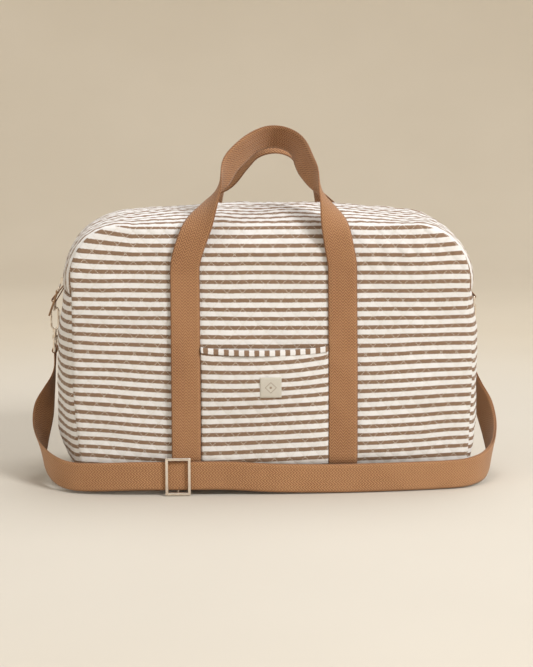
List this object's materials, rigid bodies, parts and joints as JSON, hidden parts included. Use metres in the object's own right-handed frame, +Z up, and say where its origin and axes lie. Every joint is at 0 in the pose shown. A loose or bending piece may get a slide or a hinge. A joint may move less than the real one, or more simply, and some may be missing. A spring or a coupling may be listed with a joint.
{
  "type": "weekender bag",
  "caption": "Soft striped weekender bag with a zipped top, webbing carry handles, a slip pocket and a clip-on shoulder strap.",
  "frame": {"origin": "centre of the underside of the flat base, on the surface the bag stands on", "axes": "+X to the right seen from the front, along the bag's length; +Y towards the back; +Z up"},
  "size_m": [0.6405, 0.3013, 0.4748],
  "materials": {
    "striped_quilt": "quilted cotton with taupe and cream stripes and diamond stitching",
    "zip_tape": "woven polyester zip tape",
    "zip_coil": "nylon zip coil",
    "binding": "striped cotton binding folded over the edge",
    "label": "woven cotton label",
    "lining": "plain cotton lining",
    "board": "stiff plastic base sheet",
    "leather_tab": "tan leather, cut edges",
    "handle_webbing": "herringbone cotton webbing",
    "strap_webbing": "herringbone cotton webbing",
    "hardware": "warm nickel plated steel wire"
  },
  "bodies": {
    "bag": {"front_panel": "striped_quilt", "back_panel": "striped_quilt", "left_side_panel": "striped_quilt", "right_side_panel": "striped_quilt", "bottom_panel": "striped_quilt", "zip_gusset_front": "striped_quilt", "zip_gusset_back": "striped_quilt", "zip_tape_front": "zip_tape", "zip_tape_back": "zip_tape", "zip_coil_front": "zip_coil", "zip_coil_back": "zip_coil", "zip_end_stops": "hardware", "front_pocket": "striped_quilt", "pocket_binding": "binding", "pocket_label": "label", "lining": "lining", "base_board": "board", "front_handle_legs": "handle_webbing", "back_handle_legs": "handle_webbing", "left_ring_tab": "handle_webbing", "right_ring_tab": "handle_webbing", "left_d_ring": "hardware", "right_d_ring": "hardware"},
    "front_handle": {"front_handle": "handle_webbing"},
    "back_handle": {"back_handle": "handle_webbing"},
    "zip_slider": {"zip_slider": "hardware"},
    "zip_pull": {"zip_pull_ring": "hardware", "zip_pull_tab": "leather_tab"},
    "strap": {"left_strap_loop": "hardware", "right_strap_loop": "hardware", "left_strap_end": "strap_webbing", "right_strap_end": "strap_webbing", "shoulder_strap": "strap_webbing"},
    "left_hook": {"left_hook": "hardware"},
    "right_hook": {"right_hook": "hardware"},
    "left_hook_gate": {"left_hook_gate": "hardware"},
    "right_hook_gate": {"right_hook_gate": "hardware"},
    "strap_slider": {"strap_slider": "hardware"}
  },
  "joints": [
    {"name": "front_handle_fold", "type": "hinge", "parent": "bag", "child": "front_handle", "pos_m": [-0.012, -0.1285, 0.288], "axis": [1, 0, 0], "range_deg": [0, 150]},
    {"name": "back_handle_fold", "type": "hinge", "parent": "bag", "child": "back_handle", "pos_m": [0.012, 0.1285, 0.288], "axis": [-1, 0, 0], "range_deg": [0, 150]},
    {"name": "zip_slider_travel", "type": "hinge", "parent": "bag", "child": "zip_slider", "pos_m": [-0.182, 0, 0.265], "axis": [0, 1, 0], "range_deg": [0, 75]},
    {"name": "zip_pull_swing", "type": "hinge", "parent": "zip_slider", "child": "zip_pull", "pos_m": [-0.2784, 0, 0.26721], "axis": [0, 1, 0], "range_deg": [0, 100]},
    {"name": "strap_swing", "type": "hinge", "parent": "bag", "child": "strap", "pos_m": [0, 0.027, 0.236], "axis": [-1, 0, 0], "range_deg": [0, 32]},
    {"name": "left_hook_swivel", "type": "hinge", "parent": "strap", "child": "left_hook", "pos_m": [-0.291, 0.027, 0.184], "axis": [0, 0, 1], "range_deg": [-20, 20]},
    {"name": "right_hook_swivel", "type": "hinge", "parent": "strap", "child": "right_hook", "pos_m": [0.291, 0.027, 0.184], "axis": [0, 0, 1], "range_deg": [-20, 20]},
    {"name": "left_gate_hinge", "type": "hinge", "parent": "left_hook", "child": "left_hook_gate", "pos_m": [-0.296, 0.027, 0.2048], "axis": [0, 1, 0], "range_deg": [0, 25], "stiffness_Nm_per_rad": 0.02, "springref_deg": -20.05},
    {"name": "right_gate_hinge", "type": "hinge", "parent": "right_hook", "child": "right_hook_gate", "pos_m": [0.296, 0.027, 0.2048], "axis": [0, -1, 0], "range_deg": [0, 25], "stiffness_Nm_per_rad": 0.02, "springref_deg": -20.05},
    {"name": "strap_slider_slide", "type": "slide", "parent": "strap", "child": "strap_slider", "axis": [0.9991, -0.0416, 0], "range_m": [-0.03, 0.03]}
  ]
}
